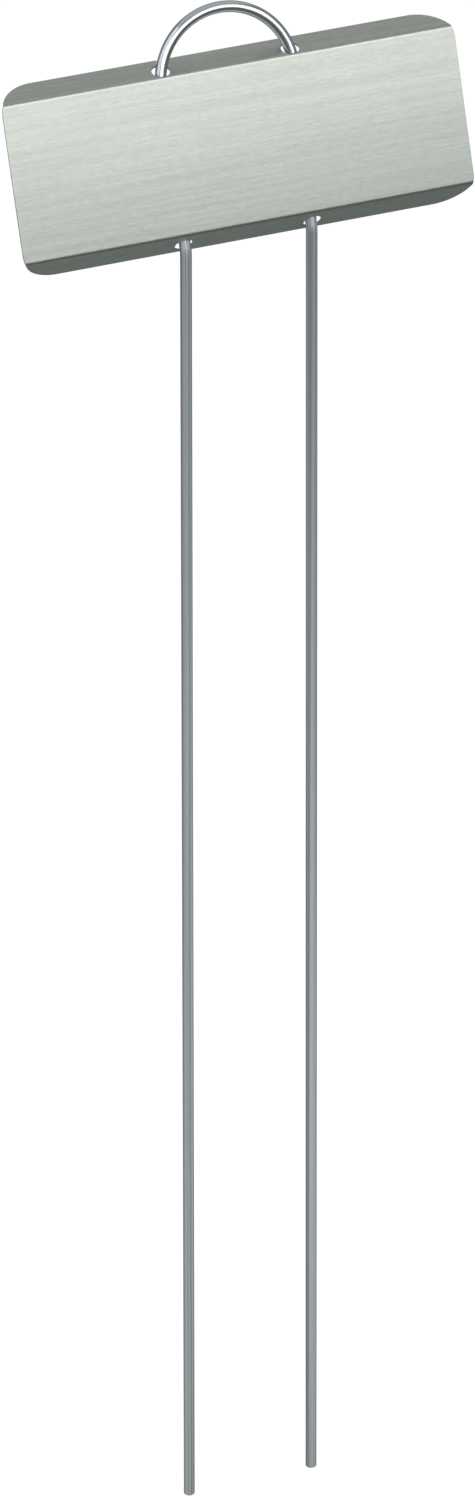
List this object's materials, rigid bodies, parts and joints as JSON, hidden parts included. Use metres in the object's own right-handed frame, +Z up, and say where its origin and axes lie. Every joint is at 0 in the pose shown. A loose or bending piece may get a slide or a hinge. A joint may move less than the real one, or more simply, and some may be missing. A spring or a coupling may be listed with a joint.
{
  "type": "plant label stake",
  "caption": "Folded sheet-metal nameplate that leans back on a hairpin wire stake with long straight legs.",
  "frame": {"origin": "midway between the two leg tips, on the surface through the tips", "axes": "+Z up along the legs, +X along the nameplate, +Y from the nameplate's face to its back, the way it leans"},
  "size_m": [0.0888, 0.0178, 0.3251],
  "materials": {
    "zinc_sheet": "mill-finished zinc sheet, matt pale grey with fine lines along its length",
    "galvanised_wire": "smooth bright galvanised wire, cool grey"
  },
  "bodies": {
    "stake": {"wire_stake": "galvanised_wire"},
    "nameplate": {"nameplate": "zinc_sheet"}
  },
  "joints": [
    {"name": "nameplate_slide", "type": "slide", "parent": "stake", "child": "nameplate", "axis": [0, 0.3564, 0.9343], "range_m": [0, 0.0012]}
  ]
}
